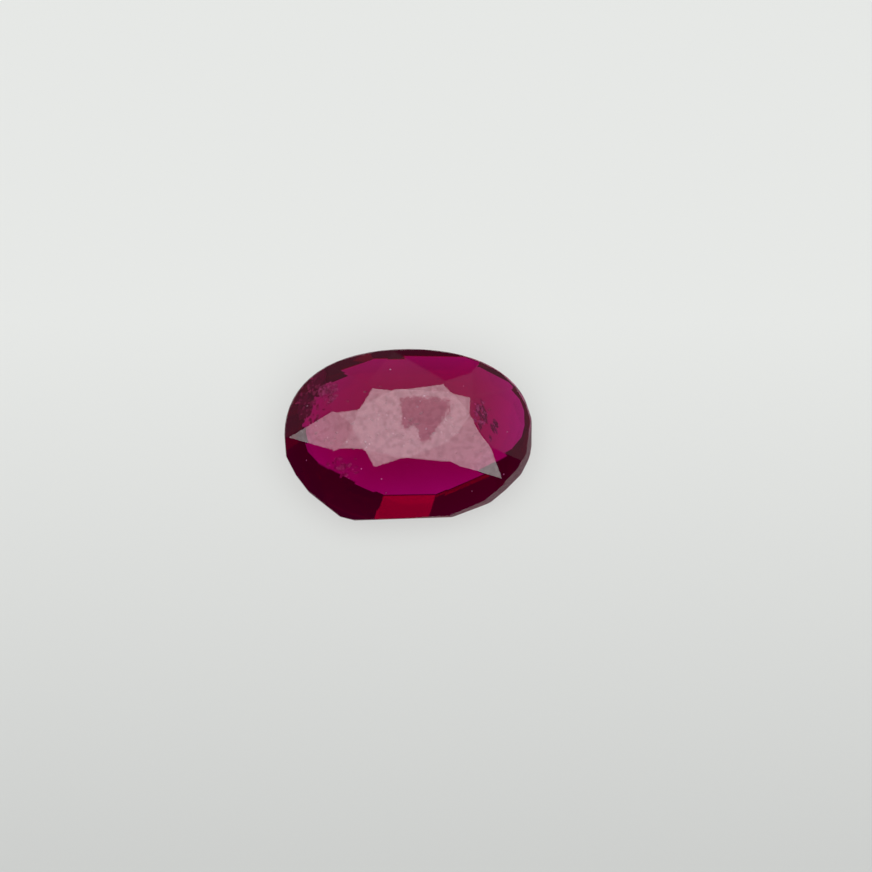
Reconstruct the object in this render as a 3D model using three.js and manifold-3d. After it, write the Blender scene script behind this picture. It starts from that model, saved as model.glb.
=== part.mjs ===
// Faceted oval ruby, made the way a stone is cut: an oval blank, then one flat cut for each facet.
import * as THREE from "three";
import { mergeVertices } from "three/addons/utils/BufferGeometryUtils.js";
import Module from "manifold-3d";

const wasm = await Module();
wasm.setup();

// Sizes are in millimetres and angles in degrees. While it is cut the stone has its table level and
// facing +Z, its length along X, its width along Y, and the girdle's upper edge near Z = 0.
const LENGTH = 8.0;
const WIDTH = 5.5;
const CROWN_HEIGHT = 0.87;
const GIRDLE_BOTTOM = -0.45;
const MAIN_DROP = 1.22;
const BASE_CENTRE = [0.16, 0.33];
const BASE_HALF_LENGTH = 3.14;
const BASE_HALF_WIDTH = 1.47;
const BASE_TURN = 2.3;
const BASE_SLOPE = 5.6;
const PAVILION_MAINS = 16;
const REST_SLOPE = 8;

// The pavilion main that faces -Y is cut this much less deep, so it is narrow and the girdle thicker.
const FRONT_MAIN_SPARE = 0.22;

// The base's outline is an oval fuller than an ellipse, whose power is 2.
const BASE_POWER = 2.4;
const BASE_STEPS = 720;

// A hand-cut stone's facets don't quite meet in points: each crown main is cut this much too deep.
const MAIN_OVERCUT = 0.012;

const RUBY_COLOUR = 0xa0164e;
const RUBY_ROUGHNESS = 0.05;

// The blank's outline: a full round upper half, and a lower half ground in straight runs.
const OUTLINE_FULLNESS = 0.62;
const OUTLINE_STEPS = 16;
const LOWER_OUTLINE = [
  [-3.95, -0.7],
  [-3.64, -1.3],
  [-3.22, -1.85],
  [-2.22, -2.64],
  [-1.75, -2.76],
  [1.5, -2.65],
  [2.62, -2.18],
  [3.1, -1.78],
  [3.6, -1.28],
  [3.92, -0.65],
];

// Crown, one entry for each main facet, going round anticlockwise from the left end. corner is its
// corner of the table, tip the outer point of the star facet between it and the next main, slope
// that star's angle, foot the main's own point at the girdle, broad how wide along X the main still
// is there, and mid the girdle point, with its height, halfway to the next main.
const CROWN = [
  { corner: [-1.84, 0.23], tip: [-2.35, -0.48], slope: 17,
    foot: [-3.81, -0.08], mid: [-3.55, -1.42, -0.25] },
  { corner: [-1.45, -0.5], tip: [-1.13, -1.08], slope: 15,
    foot: [-2.71, -2.16], mid: [-1.58, -2.71, -0.31] },
  { corner: [-0.16, -0.76], tip: [1.35, -0.9], slope: 14,
    foot: [-0.17, -2.55], broad: 1.4, mid: [1.97, -2.42, -0.3] },
  { corner: [1.39, -0.16], tip: [2.45, 0.03], slope: 14,
    foot: [3.03, -1.4], mid: [3.87, -0.65, -0.25] },
  { corner: [1.95, 0.65], tip: [1.98, 1.21], slope: 12,
    foot: [3.81, 0.55], mid: [3.48, 1.52, -0.3] },
  { corner: [1.39, 1.34], tip: [1.1, 1.66], slope: 13,
    foot: [2.58, 2.13], mid: [1.0, 2.71, -0.12] },
  { corner: [-0.42, 1.45], tip: [-1.19, 1.53], slope: 13,
    foot: [-0.48, 2.58], mid: [-1.58, 2.65, -0.12] },
  { corner: [-1.6, 0.85], tip: [-2.45, 0.73], slope: 17,
    foot: [-2.55, 2.19], mid: [-3.74, 1.32, -0.25] },
];

// Base of the pavilion, shallow facets that face these ways. The first is the one the stone lies on.
const BASE_FACETS = [
  { facing: -90, slope: REST_SLOPE },
  { facing: 90, slope: 4 },
  { facing: 0, slope: 16 },
  { facing: 180, slope: 22 },
  { facing: 45, slope: 10 },
  { facing: 135, slope: 10 },
  { facing: -45, slope: 19 },
  { facing: -135, slope: 19 },
];

// Larger than the stone, so that one box stands for everything on the far side of a cut.
const CUTTER_SIZE = 40;
const BLANK_TOP = 2;
const BLANK_BOTTOM = -4;

function outline() {
  const halfLength = LENGTH / 2;
  const halfWidth = WIDTH / 2;
  const alongX = halfLength * OUTLINE_FULLNESS;
  const alongY = halfWidth * OUTLINE_FULLNESS;
  const shape = new THREE.Shape();
  shape.moveTo(halfLength, 0);
  shape.bezierCurveTo(halfLength, alongY, alongX, halfWidth, 0, halfWidth);
  shape.bezierCurveTo(-alongX, halfWidth, -halfLength, alongY, -halfLength, 0);
  for (const [x, y] of LOWER_OUTLINE) {
    shape.lineTo(x, y);
  }
  shape.closePath();
  return shape;
}

function solidOf(geometry) {
  const bare = geometry.clone();
  bare.deleteAttribute("normal");
  bare.deleteAttribute("uv");
  const merged = mergeVertices(bare);
  const vertProperties = new Float32Array(merged.attributes.position.array);
  const triVerts = new Uint32Array(merged.index.array);
  return new wasm.Manifold(new wasm.Mesh({ numProp: 3, vertProperties, triVerts }));
}

function geometryOf(solid) {
  const mesh = solid.getMesh();
  const geometry = new THREE.BufferGeometry();
  geometry.setAttribute("position", new THREE.BufferAttribute(new Float32Array(mesh.vertProperties), 3));
  geometry.setIndex(new THREE.BufferAttribute(new Uint32Array(mesh.triVerts), 1));
  return geometry;
}

function blank() {
  const depth = BLANK_TOP - BLANK_BOTTOM;
  const options = { depth, bevelEnabled: false, curveSegments: OUTLINE_STEPS };
  const geometry = new THREE.ExtrudeGeometry(outline(), options);
  geometry.translate(0, 0, BLANK_BOTTOM);
  return solidOf(geometry);
}

// Everything beyond a plane, as a box with one face in the plane.
function beyond(plane) {
  const geometry = new THREE.BoxGeometry(CUTTER_SIZE, CUTTER_SIZE, CUTTER_SIZE);
  geometry.translate(0, 0, CUTTER_SIZE / 2);
  const turn = new THREE.Quaternion().setFromUnitVectors(new THREE.Vector3(0, 0, 1), plane.normal);
  geometry.applyQuaternion(turn);
  const foot = plane.coplanarPoint(new THREE.Vector3());
  geometry.translate(foot.x, foot.y, foot.z);
  return solidOf(geometry);
}

// Upward-facing plane through three points.
function planeThrough(a, b, c) {
  const plane = new THREE.Plane().setFromCoplanarPoints(a, b, c);
  if (plane.normal.z < 0) {
    plane.negate();
  }
  return plane;
}

function overcut(plane) {
  return new THREE.Plane(plane.normal.clone(), plane.constant + MAIN_OVERCUT);
}

function heightOn(plane, [x, y]) {
  return -(plane.constant + plane.normal.x * x + plane.normal.y * y) / plane.normal.z;
}

function pointAt([x, y], z) {
  return new THREE.Vector3(x, y, z);
}

function next(index) {
  return (index + 1) % CROWN.length;
}

function previous(index) {
  return (index + CROWN.length - 1) % CROWN.length;
}

// A star's tip lies below the table by its distance from the table's edge times its slope.
function starTip(index) {
  const from = new THREE.Vector2(...CROWN[index].corner);
  const to = new THREE.Vector2(...CROWN[next(index)].corner);
  const tip = new THREE.Vector2(...CROWN[index].tip);
  const along = to.sub(from).normalize();
  const reach = Math.abs(along.cross(tip.sub(from)));
  const drop = reach * Math.tan(THREE.MathUtils.degToRad(CROWN[index].slope));
  return pointAt(CROWN[index].tip, CROWN_HEIGHT - drop);
}

// One side of a main's foot, on the main itself: -1 is the side toward -X, and 1 the side toward +X.
function footOn(plane, { foot: [x, y], broad = 0 }, side) {
  const spot = [x + (side * broad) / 2, y];
  return pointAt(spot, heightOn(plane, spot));
}

function crownPlanes() {
  const corners = CROWN.map((main) => pointAt(main.corner, CROWN_HEIGHT));
  const tips = CROWN.map((main, index) => starTip(index));
  const stars = CROWN.map((main, index) => planeThrough(corners[index], corners[next(index)], tips[index]));
  const mains = CROWN.map((main, index) => planeThrough(corners[index], tips[previous(index)], tips[index]));
  const halves = CROWN.flatMap((main, index) => {
    const middle = new THREE.Vector3(...main.mid);
    const after = next(index);
    return [
      planeThrough(tips[index], footOn(mains[index], main, 1), middle),
      planeThrough(tips[index], middle, footOn(mains[after], CROWN[after], -1)),
    ];
  });
  const table = new THREE.Plane(new THREE.Vector3(0, 0, 1), -CROWN_HEIGHT);
  return [table, ...stars, ...mains.map(overcut), ...halves];
}

function heading(degrees) {
  const angle = THREE.MathUtils.degToRad(degrees);
  return new THREE.Vector3(Math.cos(angle), Math.sin(angle), 0);
}

// Edge of the girdle where the pavilion begins.
function girdleEdge() {
  return outline().getPoints(OUTLINE_STEPS).map((point) => pointAt([point.x, point.y], GIRDLE_BOTTOM));
}

// A sine or cosine, pushed outward so that the oval it draws is fuller.
function full(value) {
  return Math.sign(value) * Math.abs(value) ** (2 / BASE_POWER);
}

// Edge of the base: an oval on a plane that falls away toward +Y from the oval's near side.
function baseEdge() {
  const [centreX, centreY] = BASE_CENTRE;
  const up = new THREE.Vector3(0, 0, 1);
  const turn = THREE.MathUtils.degToRad(BASE_TURN);
  const fall = Math.tan(THREE.MathUtils.degToRad(BASE_SLOPE));
  const points = [];
  for (let step = 0; step < BASE_STEPS; step += 1) {
    const angle = (step * 2 * Math.PI) / BASE_STEPS;
    const alongX = BASE_HALF_LENGTH * full(Math.cos(angle));
    const alongY = BASE_HALF_WIDTH * full(Math.sin(angle));
    const point = pointAt([alongX, alongY], 0).applyAxisAngle(up, turn);
    const drop = MAIN_DROP + fall * (point.y + BASE_HALF_WIDTH);
    points.push(pointAt([point.x + centreX, point.y + centreY], GIRDLE_BOTTOM - drop));
  }
  return points;
}

// The point that lies farthest in a direction.
function farthest(points, direction) {
  return points.reduce((best, point) => (point.dot(direction) > best.dot(direction) ? point : best));
}

// A facet of the underside that faces a direction, at a slope, through a point.
function undersidePlane(direction, slope, point) {
  const normal = direction.clone().multiplyScalar(Math.sin(slope));
  normal.z = -Math.cos(slope);
  return new THREE.Plane().setFromNormalAndCoplanarPoint(normal, point);
}

// Pavilion mains run from the girdle in to the edge of the base.
function pavilionMains() {
  const planes = [];
  for (let index = 0; index < PAVILION_MAINS; index += 1) {
    const direction = heading(-90 + (index * 360) / PAVILION_MAINS);
    const outer = farthest(girdleEdge(), direction);
    const inner = farthest(baseEdge(), direction);
    const run = outer.dot(direction) - inner.dot(direction);
    planes.push(undersidePlane(direction, Math.atan2(outer.z - inner.z, run), outer));
  }
  planes[0].translate(new THREE.Vector3(0, 0, -FRONT_MAIN_SPARE));
  return planes;
}

function basePlanes() {
  return BASE_FACETS.map(({ facing, slope }) => {
    const direction = heading(facing);
    return undersidePlane(direction, THREE.MathUtils.degToRad(slope), farthest(baseEdge(), direction));
  });
}

function cutStone() {
  const planes = [...crownPlanes(), ...pavilionMains(), ...basePlanes()];
  return planes.reduce((stone, plane) => stone.subtract(beyond(plane)), blank());
}

// Lay the stone down on its resting facet, over the origin.
function laidDown(geometry) {
  geometry.rotateX(THREE.MathUtils.degToRad(REST_SLOPE));
  geometry.computeBoundingBox();
  const box = geometry.boundingBox;
  const middle = box.getCenter(new THREE.Vector3());
  geometry.translate(-middle.x, -middle.y, -box.min.z);
  return geometry;
}

function ruby() {
  const geometry = laidDown(geometryOf(cutStone()));
  geometry.computeVertexNormals();
  const material = new THREE.MeshStandardMaterial({
    color: RUBY_COLOUR,
    roughness: RUBY_ROUGHNESS,
    metalness: 0,
    flatShading: true,
  });
  const mesh = new THREE.Mesh(geometry, material);
  mesh.name = "ruby";
  return mesh;
}

const stone = new THREE.Group();
stone.add(ruby());

export default stone;
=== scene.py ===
"""Looks of a faceted oval ruby that lies on a pale board: polished facets with worn edges, a ground
girdle, small inclusions and two patches of dark flakes as painted shade in the clear red body, and one
round soft light about the camera."""
import math
import random

import bmesh
import bpy
from mathutils import Euler, Matrix, Vector


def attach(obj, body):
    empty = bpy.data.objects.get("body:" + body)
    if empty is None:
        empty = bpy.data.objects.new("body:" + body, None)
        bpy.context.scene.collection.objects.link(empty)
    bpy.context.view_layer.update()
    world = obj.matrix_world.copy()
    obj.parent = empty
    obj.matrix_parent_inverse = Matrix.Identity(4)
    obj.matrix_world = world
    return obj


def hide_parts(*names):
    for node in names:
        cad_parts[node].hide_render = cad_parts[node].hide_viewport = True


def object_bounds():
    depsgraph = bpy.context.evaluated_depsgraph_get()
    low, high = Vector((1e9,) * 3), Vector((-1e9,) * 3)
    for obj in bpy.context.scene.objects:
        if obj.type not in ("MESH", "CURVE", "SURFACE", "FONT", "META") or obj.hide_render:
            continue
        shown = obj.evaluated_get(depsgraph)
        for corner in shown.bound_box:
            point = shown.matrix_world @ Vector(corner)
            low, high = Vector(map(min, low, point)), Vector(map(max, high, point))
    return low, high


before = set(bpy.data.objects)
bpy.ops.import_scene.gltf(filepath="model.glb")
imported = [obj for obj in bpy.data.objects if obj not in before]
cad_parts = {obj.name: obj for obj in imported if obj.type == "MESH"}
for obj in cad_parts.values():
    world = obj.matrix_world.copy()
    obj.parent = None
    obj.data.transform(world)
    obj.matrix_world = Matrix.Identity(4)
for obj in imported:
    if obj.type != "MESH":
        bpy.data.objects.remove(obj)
cad_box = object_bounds()

MM = 0.001
MICRON = 0.000001
WHITE = (1, 1, 1, 1)
BLACK = (0, 0, 0, 1)
SEED = 11

# The stone's table faces up and leans this many degrees toward -Y. The camera looks straight onto it.
# Places on the stone are given as the camera sees them: across to the right and up from the middle of
# its outline, and along the table's facing direction.
TABLE_LEAN = math.radians(8)
TABLE_FACING = Vector((0, -math.sin(TABLE_LEAN), math.cos(TABLE_LEAN)))
VIEW_RIGHT = Vector((1, 0, 0))
VIEW_UP = TABLE_FACING.cross(VIEW_RIGHT)

# Where the stone's outline lies in the picture, in pixels.
IMAGE_SIZE = 872
STONE_LEFT_PX = 284.6
STONE_RIGHT_PX = 533.2
STONE_BOTTOM_PX = 520.5
CAMERA_DISTANCE = 0.25
CAMERA_NEAREST = 0.025
SENSOR_MM = 36

# Two facets meet in an edge where they differ by more than this. Polishing and handling round each
# edge a little, the girdle's edges more, and most of all the girdle's upper edge on one side. That side
# is an angle from the view's right, with a reach to both sides of it.
SHARP_EDGE = math.radians(4)
FACET_WEAR = 0.018 * MM
GIRDLE_WEAR = 0.03 * MM
WORN_SIDE = math.radians(-18)
WORN_SIDE_REACH = math.radians(34)
WORN_SIDE_WEAR = 0.13 * MM
WEAR_SPREAD = (0.6, 1.5)

# A face belongs to the girdle where less than this share of its normal points along the table's facing.
GIRDLE_LEVEL = 0.2

# What counts as one point, as one flat facet, as a point on a cut, as a closed rim and as a facet.
SAME_POINT = 1 * MICRON
FLAT_ANGLE = math.radians(0.1)
CUT_SNAP = 0.01 * MICRON
FEWEST_SIDES = 3
SMALLEST_FACE = 0.001 * MM * MM

# Corundum, what its colour takes off light for each metre of red, green and blue, and the red glow
# that ruby gives back. The colour is a little uneven, in zones.
RUBY_IOR = 1.765
RUBY_ABSORBS = (365, 3200, 870)
RUBY_GLOW = (1.0, 0.0, 0.3, 1)
RUBY_GLOW_STRENGTH = 0.02
ZONE_COLOUR = (0.84, 0.68, 0.76, 1)
ZONE_SCALE = 900
ZONE_DETAIL = 4

# The facets are polished, with faint waves. The girdle and the wear along it are ground and shine less.
# The table and the facets that lean less than HANDLED_LEAN from it are handled, and have dull spots.
POLISHED_ROUGHNESS = 0.015
POLISH_SCALE = 2600
POLISH_DETAIL = 2
POLISH_HEIGHT = 0.25 * MICRON
GROUND_ROUGHNESS = 0.25
GROUND_SHINE = (0.6, 0.45, 0.5, 1)
HANDLED_LEAN = math.radians(24)
DULL_SPOT_SHINE = (0.84, 0.84, 0.84, 1)
DULL_SPOT_COLOUR = (0.76, 0.76, 0.76, 1)
DULL_SPOT_SCALE = 5000
DULL_SPOT_DETAIL = 3
DULL_SPOT_ENDS = (0.4, 0.68)

# Inclusions, and two patches of dark flakes that are painted shade. Places and sizes are in millimetres:
# the middle and half sizes of an oval patch as the camera sees it, how many are tried there, how far below
# the surface, how long, how wide and how thick against the length, which way they run and how much that
# varies in degrees, and their colour.
INCLUSIONS_AND_PAINTED_SHADE = (
    {
        "name": "table_specks", "middle": (0.0, 0.3), "reach": (3.0, 1.3), "count": 110,
        "depth": (0.03, 0.2), "length": (0.04, 0.15), "width": 0.45, "thick": 0.25,
        "runs": 0, "varies": 50, "colour": (0.42, 0.1, 0.16),
    },
    {
        "name": "left_flakes", "middle": (-3.05, 1.05), "reach": (0.6, 0.75), "count": 80,
        "depth": (0.05, 0.3), "length": (0.04, 0.15), "width": 0.6, "thick": 0.12,
        "runs": 50, "varies": 60, "colour": (0.36, 0.035, 0.12),
    },
    {
        "name": "left_veil", "middle": (-2.6, 1.35), "reach": (0.35, 0.32), "count": 40,
        "depth": (0.05, 0.3), "length": (0.08, 0.22), "width": 0.6, "thick": 0.12,
        "runs": 30, "varies": 60, "colour": (0.5, 0.08, 0.22),
    },
    # Painted shade: this patch and the next are dark flakes that darken the clear window along its upper
    # left edge, where the stone shows a dark band of shade. The crystal has no such grains there.
    {
        "name": "upper_painted_shade", "middle": (-2.82, 1.52), "reach": (0.22, 0.34), "count": 26,
        "depth": (0.4, 0.8), "length": (0.25, 0.5), "width": 0.6, "thick": 0.12,
        "runs": 60, "varies": 30, "colour": (0.17, 0.004, 0.04),
    },
    {
        "name": "lower_painted_shade", "middle": (-3.17, 0.92), "reach": (0.2, 0.34), "count": 26,
        "depth": (0.4, 0.8), "length": (0.25, 0.5), "width": 0.6, "thick": 0.12,
        "runs": 60, "varies": 30, "colour": (0.17, 0.004, 0.04),
    },
    {
        "name": "lower_veil", "middle": (-2.1, -1.0), "reach": (0.6, 0.3), "count": 30,
        "depth": (0.05, 0.3), "length": (0.08, 0.2), "width": 0.6, "thick": 0.12,
        "runs": 20, "varies": 60, "colour": (0.52, 0.05, 0.22),
    },
    {
        "name": "right_streaks", "middle": (2.26, 0.66), "reach": (0.15, 0.5), "count": 26,
        "depth": (0.1, 0.4), "length": (0.15, 0.4), "width": 0.2, "thick": 0.1,
        "runs": -62, "varies": 14, "colour": (0.26, 0.008, 0.1),
    },
    {
        "name": "right_blobs", "middle": (2.66, 0.1), "reach": (0.17, 0.36), "count": 10,
        "depth": (0.15, 0.4), "length": (0.12, 0.3), "width": 0.35, "thick": 0.12,
        "runs": -65, "varies": 30, "colour": (0.3, 0.01, 0.14),
    },
    {
        "name": "right_flakes", "middle": (2.25, 0.75), "reach": (0.22, 0.45), "count": 26,
        "depth": (0.05, 0.3), "length": (0.08, 0.22), "width": 0.5, "thick": 0.12,
        "runs": -50, "varies": 40, "colour": (0.6, 0.1, 0.3),
    },
    {
        "name": "bright_dots", "middle": (0.0, 0.0), "reach": (3.7, 2.3), "count": 30,
        "depth": (0.07, 0.14), "length": (0.03, 0.07), "width": 0.8, "thick": 0.5,
        "runs": 0, "varies": 180, "colour": (0.8, 0.62, 0.68),
    },
)

# Each is a ball of length 1 made lumpy, then stretched, tilted by up to this many degrees and put in
# place if it leaves this room to the stone's walls. The crowding is 0.5 for an even patch, and more
# for one that is denser in the middle.
FLAKE_RADIUS = 0.5
FLAKE_ROUNDNESS = 2
LUMPY = (0.7, 1.25)
TILT_VARIES = 25
WALL_ROOM = 0.02 * MM
CROWDING = 0.7
GRAIN_SHADES = (0.6, 1.4)
GRAIN_SCALE = 14000
GRAIN_DETAIL = 2
GRAIN_ROUGHNESS = 0.7

# The light is three discs, one in front of another, about the camera's line of sight, and a small one
# near their edge. Each fills a half angle in degrees, adds a radiance, and leans this many degrees up
# from the line of sight.
LIGHT_DISCS = ((46.6, 1.95, 0), (37, 0.48, 0), (15, 0.75, 0), (4, 0.7, 43.5))
LIGHT_DISTANCE = 0.4
LIGHT_STEP = 0.004

# A dimmer card above the stone, which only reflections show, darkens part of the table's reflection.
# Its outline is given as it looks on the table, in millimetres from the stone's middle.
CARD_HEIGHT = 0.12
CARD_RADIANCE = 1.45
CARD_OUTLINE = (
    (-0.34, 1.22), (1.34, 1.13), (1.31, 0.87), (0.79, 0.09), (0.66, -0.16), (0.5, -0.2),
    (0.34, -0.16), (0.28, 0.16), (0.15, 0.32), (-0.08, 0.09), (-0.21, 0.22), (-0.27, 0.96),
)

# What reflections and clear paths see beyond the light: a grey upper half, brighter to the right, that
# fades out toward the sides, and a dark lower half. The camera itself sees a pale backdrop.
SURROUND_GREY = 0.18
SURROUND_RISE = 0.1
SURROUND_HALVES = (0.0, 0.25)
SURROUND_FADES = (0.0, 0.4)
BACKDROP = (0.75, 0.77, 0.76, 1)

# The pale board, a hair below the stone. Its glow rises toward +Y between these two ends.
FLOOR_SIZE = 3.0
FLOOR_GAP = 20 * MICRON
FLOOR_GREY = (0.163, 0.166, 0.163, 1)
FLOOR_ROUGHNESS = 0.9
FLOOR_GLOW_COLOUR = (1.0, 1.02, 0.995, 1)
FLOOR_GLOW = (0.375, 0.56)
FLOOR_GLOW_ENDS = (-14 * MM, 4 * MM)

# How often light may pass through or bounce off before it is given up.
CLEAR_BOUNCES = 24
MIRROR_BOUNCES = 12


def link(piece):
    bpy.context.scene.collection.objects.link(piece)
    return piece


def object_from(bm, name):
    mesh = bpy.data.meshes.new(name)
    bm.to_mesh(mesh)
    bm.free()
    return link(bpy.data.objects.new(name, mesh))


def outline_middle(cad):
    """Middle of the stone's outline as the camera sees it: across, up."""
    across = [vertex.co.dot(VIEW_RIGHT) for vertex in cad.data.vertices]
    up = [vertex.co.dot(VIEW_UP) for vertex in cad.data.vertices]
    return (min(across) + max(across)) / 2, (min(up) + max(up)) / 2


def facets(cad):
    """The solid's planes as (normal, distance). A point inside is nearer than the distance for each."""
    vertices = cad.data.vertices
    large = [face for face in cad.data.polygons if face.area > SMALLEST_FACE]
    return [(face.normal.copy(), face.normal.dot(vertices[face.vertices[0]].co)) for face in large]


def crown_height(planes, place):
    """How far along the table's facing direction the stone's surface is, above a place."""
    above = [(normal, distance) for normal, distance in planes if normal.dot(TABLE_FACING) > GIRDLE_LEVEL]
    return min((distance - normal.dot(place)) / normal.dot(TABLE_FACING) for normal, distance in above)


def cut_beyond(bm, point, normal, ground_layer, ground):
    """Cut off what is beyond a plane, and close the cut with one facet."""
    everything = bm.verts[:] + bm.edges[:] + bm.faces[:]
    cut = bmesh.ops.bisect_plane(
        bm, geom=everything, dist=CUT_SNAP, plane_co=point, plane_no=normal, clear_outer=True
    )
    rim = [item for item in cut["geom_cut"] if isinstance(item, bmesh.types.BMEdge)]
    if len(rim) < FEWEST_SIDES:
        return
    made = bmesh.ops.contextual_create(bm, geom=rim)
    for face in made["faces"]:
        face[ground_layer] = ground


def is_girdle(face):
    return abs(face.normal.dot(TABLE_FACING)) < GIRDLE_LEVEL


def girdle_wear(place):
    """Wear of the girdle's edge at a place: more on the worn side."""
    off = math.atan2(place.dot(VIEW_UP), place.dot(VIEW_RIGHT)) - WORN_SIDE
    return GIRDLE_WEAR + WORN_SIDE_WEAR * math.exp(-((off / WORN_SIDE_REACH) ** 2))


def edge_wear(walls, place, normal):
    """Wear of an edge, by how many of its two faces belong to the girdle."""
    if walls != 1:
        return FACET_WEAR
    if normal.dot(TABLE_FACING) > 0:
        return girdle_wear(place)
    return GIRDLE_WEAR


def worn_edges(bm, draw):
    """A cut for each sharp edge, as (point, normal, ground): how far it goes in depends on the wear."""
    cuts = []
    for edge in bm.edges:
        angle = edge.calc_face_angle()
        if angle < SHARP_EDGE:
            continue
        first, second = edge.link_faces
        walls = is_girdle(first) + is_girdle(second)
        middle = (edge.verts[0].co + edge.verts[1].co) / 2
        normal = (first.normal + second.normal).normalized()
        wear = edge_wear(walls, middle, normal) * draw.uniform(*WEAR_SPREAD)
        cuts.append((middle - normal * wear * math.sin(angle / 2), normal, walls > 0))
    return cuts


def make_stone(cad):
    """The CAD solid again, with its edges worn. Its girdle and the wear along it are ground, and the
    table and the facets about it are handled."""
    bm = bmesh.new()
    bm.from_mesh(cad.data)
    bmesh.ops.remove_doubles(bm, verts=bm.verts, dist=SAME_POINT)
    bmesh.ops.dissolve_limit(bm, angle_limit=FLAT_ANGLE, verts=bm.verts, edges=bm.edges)
    bm.normal_update()
    ground_layer = bm.faces.layers.float.new("ground")
    handled_layer = bm.faces.layers.float.new("handled")
    for face in bm.faces:
        face[ground_layer] = is_girdle(face)
        face[handled_layer] = face.normal.dot(TABLE_FACING) > math.cos(HANDLED_LEAN)
    draw = random.Random(SEED)
    for point, normal, ground in worn_edges(bm, draw):
        cut_beyond(bm, point, normal, ground_layer, ground)
    bmesh.ops.recalc_face_normals(bm, faces=bm.faces)
    return object_from(bm, "ruby_stone")


def add_flake(bm, place, kind, draw):
    """One closed lumpy flake, flat to the camera but for a small tilt."""
    length = draw.uniform(*kind["length"]) * MM
    made = bmesh.ops.create_icosphere(bm, subdivisions=FLAKE_ROUNDNESS, radius=FLAKE_RADIUS)["verts"]
    for vertex in made:
        vertex.co *= draw.uniform(*LUMPY)
    size = Matrix.Diagonal((length, length * kind["width"], length * kind["thick"], 1))
    run = kind["runs"] + draw.uniform(-kind["varies"], kind["varies"])
    tilts = [draw.uniform(-TILT_VARIES, TILT_VARIES) for axis in "xy"]
    turn = Euler([math.radians(angle) for angle in (*tilts, run)]).to_matrix().to_4x4()
    view = Matrix((VIEW_RIGHT, VIEW_UP, TABLE_FACING)).transposed().to_4x4()
    bmesh.ops.transform(bm, matrix=Matrix.Translation(place) @ view @ turn @ size, verts=made)


def make_flake_patch(kind, planes, middle, draw):
    """Flakes or grains scattered in an oval patch under the surface."""
    bm = bmesh.new()
    for flake in range(kind["count"]):
        angle = draw.uniform(0, 2 * math.pi)
        out = draw.random() ** CROWDING
        across = middle[0] + (kind["middle"][0] + kind["reach"][0] * out * math.cos(angle)) * MM
        up = middle[1] + (kind["middle"][1] + kind["reach"][1] * out * math.sin(angle)) * MM
        place = VIEW_RIGHT * across + VIEW_UP * up
        place += TABLE_FACING * (crown_height(planes, place) - draw.uniform(*kind["depth"]) * MM)
        room = WALL_ROOM + kind["length"][1] * MM * kind["thick"]
        if all(normal.dot(place) < distance - room for normal, distance in planes):
            add_flake(bm, place, kind, draw)
    piece = object_from(bm, kind["name"])
    piece.data.materials.append(flake_material(kind))
    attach(piece, "root")


def noise_node(nodes, links, scale, detail):
    """Even noise over the solid, from 0 to 1."""
    place = nodes.new("ShaderNodeTexCoord")
    noise = nodes.new("ShaderNodeTexNoise")
    noise.inputs["Scale"].default_value = scale
    noise.inputs["Detail"].default_value = detail
    links.new(place.outputs["Object"], noise.inputs["Vector"])
    return noise.outputs["Fac"]


def ramp(nodes, links, value, ends):
    """From 0 to 1 between two ends, smoothly."""
    node = nodes.new("ShaderNodeMapRange")
    node.interpolation_type = "SMOOTHSTEP"
    node.inputs["From Min"].default_value = ends[0]
    node.inputs["From Max"].default_value = ends[1]
    links.new(value, node.inputs["Value"])
    return node.outputs["Result"]


def multiplied(nodes, links, first, second):
    node = nodes.new("ShaderNodeMath")
    node.operation = "MULTIPLY"
    links.new(first, node.inputs[0])
    links.new(second, node.inputs[1])
    return node.outputs["Value"]


def mixed(nodes, links, factor, first, second):
    """From the first colour to the second as a factor goes from 0 to 1."""
    node = nodes.new("ShaderNodeMix")
    node.data_type = "RGBA"
    node.inputs["A"].default_value = first
    node.inputs["B"].default_value = second
    links.new(factor, node.inputs["Factor"])
    return node.outputs["Result"]


def tinted(nodes, links, first, second):
    """One colour times another."""
    node = nodes.new("ShaderNodeVectorMath")
    node.operation = "MULTIPLY"
    links.new(first, node.inputs[0])
    links.new(second, node.inputs[1])
    return node.outputs["Vector"]


def mark_of(nodes, name):
    """The value that each face of the stone has for a mark."""
    node = nodes.new("ShaderNodeAttribute")
    node.attribute_name = name
    return node.outputs["Fac"]


def roughness(nodes, links):
    """Polished, but for the faces that are marked as ground."""
    rough = nodes.new("ShaderNodeMapRange")
    rough.inputs["To Min"].default_value = POLISHED_ROUGHNESS
    rough.inputs["To Max"].default_value = GROUND_ROUGHNESS
    links.new(mark_of(nodes, "ground"), rough.inputs["Value"])
    return rough.outputs["Result"]


def dull_spots(nodes, links):
    """Where the polish is dull, from 0 to 1: spots on the faces that are marked as handled."""
    noise = noise_node(nodes, links, DULL_SPOT_SCALE, DULL_SPOT_DETAIL)
    spots = ramp(nodes, links, noise, DULL_SPOT_ENDS)
    return multiplied(nodes, links, spots, mark_of(nodes, "handled"))


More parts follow.
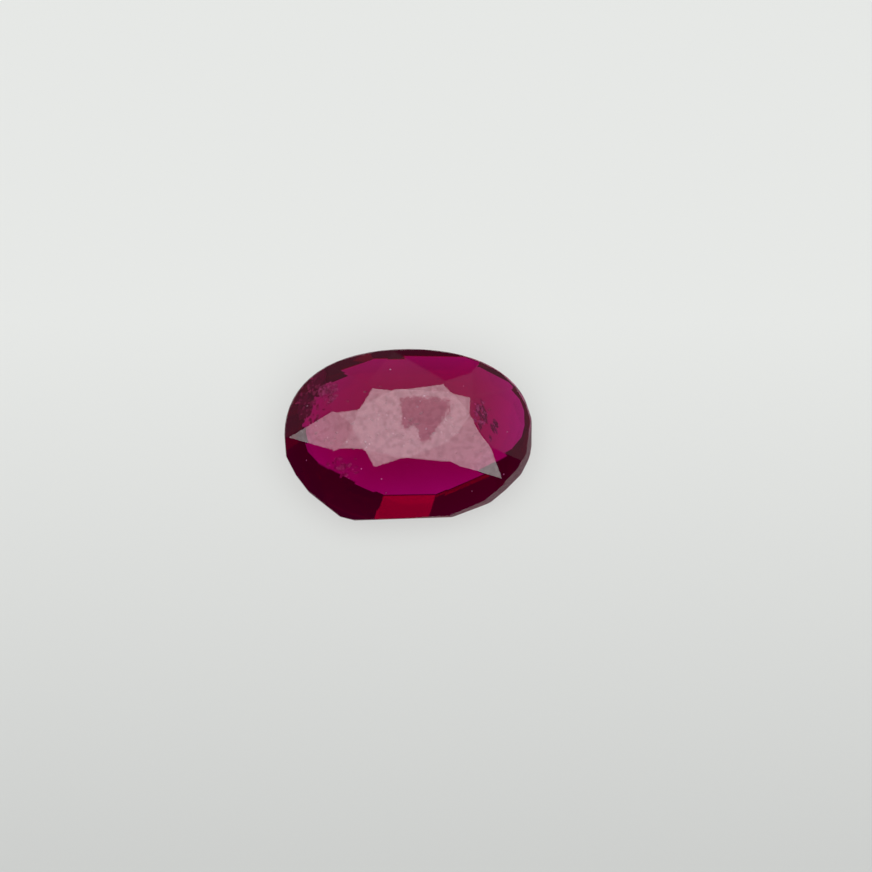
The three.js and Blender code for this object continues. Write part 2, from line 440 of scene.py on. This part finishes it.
def ruby_material():
    """Clear red crystal, a little uneven in colour and polish, with ground faces where they are marked."""
    material = bpy.data.materials.new("ruby")
    material.use_nodes = True
    nodes = material.node_tree.nodes
    links = material.node_tree.links
    shader = nodes["Principled BSDF"]
    shader.inputs["IOR"].default_value = RUBY_IOR
    shader.inputs["Transmission Weight"].default_value = 1
    shader.inputs["Emission Color"].default_value = RUBY_GLOW
    shader.inputs["Emission Strength"].default_value = RUBY_GLOW_STRENGTH
    zones = mixed(nodes, links, noise_node(nodes, links, ZONE_SCALE, ZONE_DETAIL), WHITE, ZONE_COLOUR)
    dull = dull_spots(nodes, links)
    spots = mixed(nodes, links, dull, WHITE, DULL_SPOT_COLOUR)
    links.new(tinted(nodes, links, zones, spots), shader.inputs["Base Color"])
    spot_shine = mixed(nodes, links, dull, WHITE, DULL_SPOT_SHINE)
    ground_shine = mixed(nodes, links, mark_of(nodes, "ground"), WHITE, GROUND_SHINE)
    links.new(tinted(nodes, links, spot_shine, ground_shine), shader.inputs["Specular Tint"])
    links.new(roughness(nodes, links), shader.inputs["Roughness"])
    bump = nodes.new("ShaderNodeBump")
    bump.inputs["Distance"].default_value = POLISH_HEIGHT
    links.new(noise_node(nodes, links, POLISH_SCALE, POLISH_DETAIL), bump.inputs["Height"])
    links.new(bump.outputs["Normal"], shader.inputs["Normal"])
    absorption = nodes.new("ShaderNodeVolumeAbsorption")
    most = max(RUBY_ABSORBS)
    absorption.inputs["Density"].default_value = most
    absorption.inputs["Color"].default_value = [1 - taken / most for taken in RUBY_ABSORBS] + [1]
    links.new(absorption.outputs["Volume"], nodes["Material Output"].inputs["Volume"])
    return material


def flake_material(kind):
    """Dull mineral grain, its colour a little uneven. The two painted-shade patches use it for dark flakes
    that stand for shade.
    """
    material = bpy.data.materials.new(kind["name"])
    material.use_nodes = True
    nodes = material.node_tree.nodes
    links = material.node_tree.links
    shader = nodes["Principled BSDF"]
    shader.inputs["Roughness"].default_value = GRAIN_ROUGHNESS
    darker, lighter = [[part * shade for part in kind["colour"]] + [1] for shade in GRAIN_SHADES]
    shades = mixed(nodes, links, noise_node(nodes, links, GRAIN_SCALE, GRAIN_DETAIL), darker, lighter)
    links.new(shades, shader.inputs["Base Color"])
    return material


def floor_material():
    """Pale matt board that glows a little more toward +Y."""
    material = bpy.data.materials.new("floor")
    material.use_nodes = True
    nodes = material.node_tree.nodes
    links = material.node_tree.links
    shader = nodes["Principled BSDF"]
    shader.inputs["Base Color"].default_value = FLOOR_GREY
    shader.inputs["Roughness"].default_value = FLOOR_ROUGHNESS
    shader.inputs["Emission Color"].default_value = FLOOR_GLOW_COLOUR
    place = nodes.new("ShaderNodeTexCoord")
    parts = nodes.new("ShaderNodeSeparateXYZ")
    glow = nodes.new("ShaderNodeMapRange")
    glow.inputs["From Min"].default_value = FLOOR_GLOW_ENDS[0]
    glow.inputs["From Max"].default_value = FLOOR_GLOW_ENDS[1]
    glow.inputs["To Min"].default_value = FLOOR_GLOW[0]
    glow.inputs["To Max"].default_value = FLOOR_GLOW[1]
    links.new(place.outputs["Object"], parts.inputs["Vector"])
    links.new(parts.outputs["Y"], glow.inputs["Value"])
    links.new(glow.outputs["Result"], shader.inputs["Emission Strength"])
    return material


def make_floor():
    bm = bmesh.new()
    bmesh.ops.create_grid(bm, x_segments=1, y_segments=1, size=FLOOR_SIZE / 2)
    floor = object_from(bm, "floor")
    floor.location.z = -FLOOR_GAP
    floor.data.materials.append(floor_material())


def make_lights(aim):
    """The round light. A disc's power is its radiance over its area and over the half sphere before it."""
    distance = LIGHT_DISTANCE
    for half_angle, radiance, lean in LIGHT_DISCS:
        radius = distance * math.tan(math.radians(half_angle))
        light = bpy.data.lights.new("round_light", "AREA")
        light.shape = "DISK"
        light.size = 2 * radius
        light.energy = radiance * math.pi * math.pi * radius**2
        facing = TABLE_FACING * math.cos(math.radians(lean)) + VIEW_UP * math.sin(math.radians(lean))
        lamp = link(bpy.data.objects.new("round_light", light))
        lamp.location = aim + facing * distance
        lamp.rotation_mode = "QUATERNION"
        lamp.rotation_quaternion = (-facing).to_track_quat("-Z", "Y")
        lamp.visible_camera = False
        distance -= LIGHT_STEP


def card_material():
    material = bpy.data.materials.new("dim_card")
    material.use_nodes = True
    shader = material.node_tree.nodes["Principled BSDF"]
    shader.inputs["Base Color"].default_value = BLACK
    shader.inputs["Specular IOR Level"].default_value = 0
    shader.inputs["Emission Color"].default_value = WHITE
    shader.inputs["Emission Strength"].default_value = CARD_RADIANCE
    return material


def make_card(planes, middle, aim):
    """The dim card, sized so that its mirror image on the table has the given outline."""
    place = VIEW_RIGHT * middle[0] + VIEW_UP * middle[1]
    table = crown_height(planes, place)
    eye = aim.dot(TABLE_FACING) + CAMERA_DISTANCE - table
    foot = Vector((aim.dot(VIEW_RIGHT), aim.dot(VIEW_UP)))
    bm = bmesh.new()
    corners = []
    for across, up in CARD_OUTLINE:
        seen = Vector((middle[0] + across * MM, middle[1] + up * MM))
        spot = foot + (seen - foot) * (1 + CARD_HEIGHT / eye)
        corner = VIEW_RIGHT * spot.x + VIEW_UP * spot.y + TABLE_FACING * (table + CARD_HEIGHT)
        corners.append(bm.verts.new(corner))
    bm.faces.new(corners)
    card = object_from(bm, "dim_card")
    card.data.materials.append(card_material())
    card.visible_camera = False
    card.visible_diffuse = False
    card.visible_transmission = False
    card.visible_shadow = False


def along(nodes, links, direction):
    """How far the looked-at direction points along another."""
    place = nodes.new("ShaderNodeTexCoord")
    dot = nodes.new("ShaderNodeVectorMath")
    dot.operation = "DOT_PRODUCT"
    dot.inputs[1].default_value = direction
    links.new(place.outputs["Generated"], dot.inputs[0])
    return dot.outputs["Value"]


def make_world():
    """Pale to the camera. To everything else, grey above and dark below."""
    world = bpy.data.worlds.new("surroundings")
    world.use_nodes = True
    nodes = world.node_tree.nodes
    links = world.node_tree.links
    grey = nodes.new("ShaderNodeMath")
    grey.operation = "MULTIPLY_ADD"
    grey.inputs[1].default_value = SURROUND_RISE
    grey.inputs[2].default_value = SURROUND_GREY
    links.new(along(nodes, links, VIEW_RIGHT), grey.inputs[0])
    upper = ramp(nodes, links, along(nodes, links, VIEW_UP), SURROUND_HALVES)
    faded = ramp(nodes, links, along(nodes, links, TABLE_FACING), SURROUND_FADES)
    level = multiplied(nodes, links, grey.outputs["Value"], multiplied(nodes, links, upper, faded))
    seen = nodes.new("ShaderNodeLightPath")
    colour = nodes.new("ShaderNodeMix")
    colour.data_type = "RGBA"
    colour.inputs["B"].default_value = BACKDROP
    links.new(seen.outputs["Is Camera Ray"], colour.inputs["Factor"])
    links.new(level, colour.inputs["A"])
    links.new(colour.outputs["Result"], nodes["Background"].inputs["Color"])
    bpy.context.scene.world = world


def make_camera(cad):
    """Look straight onto the table, with the stone's outline where the picture has it."""
    points = [vertex.co for vertex in cad.data.vertices]
    left = min(point.dot(VIEW_RIGHT) for point in points)
    right = max(point.dot(VIEW_RIGHT) for point in points)
    bottom = min(point.dot(VIEW_UP) for point in points)
    pixel = (right - left) / (STONE_RIGHT_PX - STONE_LEFT_PX)
    across = left + (IMAGE_SIZE / 2 - STONE_LEFT_PX) * pixel
    upward = bottom + (STONE_BOTTOM_PX - IMAGE_SIZE / 2) * pixel
    depth = ((cad_box[0] + cad_box[1]) / 2).dot(TABLE_FACING)
    aim = VIEW_RIGHT * across + VIEW_UP * upward + TABLE_FACING * depth
    data = bpy.data.cameras.new("camera")
    data.sensor_width = SENSOR_MM
    data.lens = SENSOR_MM * CAMERA_DISTANCE / (IMAGE_SIZE * pixel)
    data.clip_start = CAMERA_NEAREST
    camera = link(bpy.data.objects.new("camera", data))
    turn = Matrix((VIEW_RIGHT, VIEW_UP, TABLE_FACING)).transposed()
    camera.matrix_world = Matrix.Translation(aim + TABLE_FACING * CAMERA_DISTANCE) @ turn.to_4x4()
    bpy.context.scene.camera = camera
    return aim


def set_look():
    scene = bpy.context.scene
    scene.view_settings.view_transform = "Standard"
    scene.cycles.max_bounces = CLEAR_BOUNCES
    scene.cycles.transmission_bounces = CLEAR_BOUNCES
    scene.cycles.glossy_bounces = MIRROR_BOUNCES
    scene.cycles.use_denoising = True


cad_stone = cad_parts["ruby"]
middle = outline_middle(cad_stone)
planes = facets(cad_stone)
aim = make_camera(cad_stone)
make_lights(aim)
make_card(planes, middle, aim)
make_world()
make_floor()
set_look()

stone = make_stone(cad_stone)
stone.data.materials.append(ruby_material())
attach(stone, "root")
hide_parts("ruby")
draw = random.Random(SEED)
for kind in INCLUSIONS_AND_PAINTED_SHADE:
    make_flake_patch(kind, planes, middle, draw)
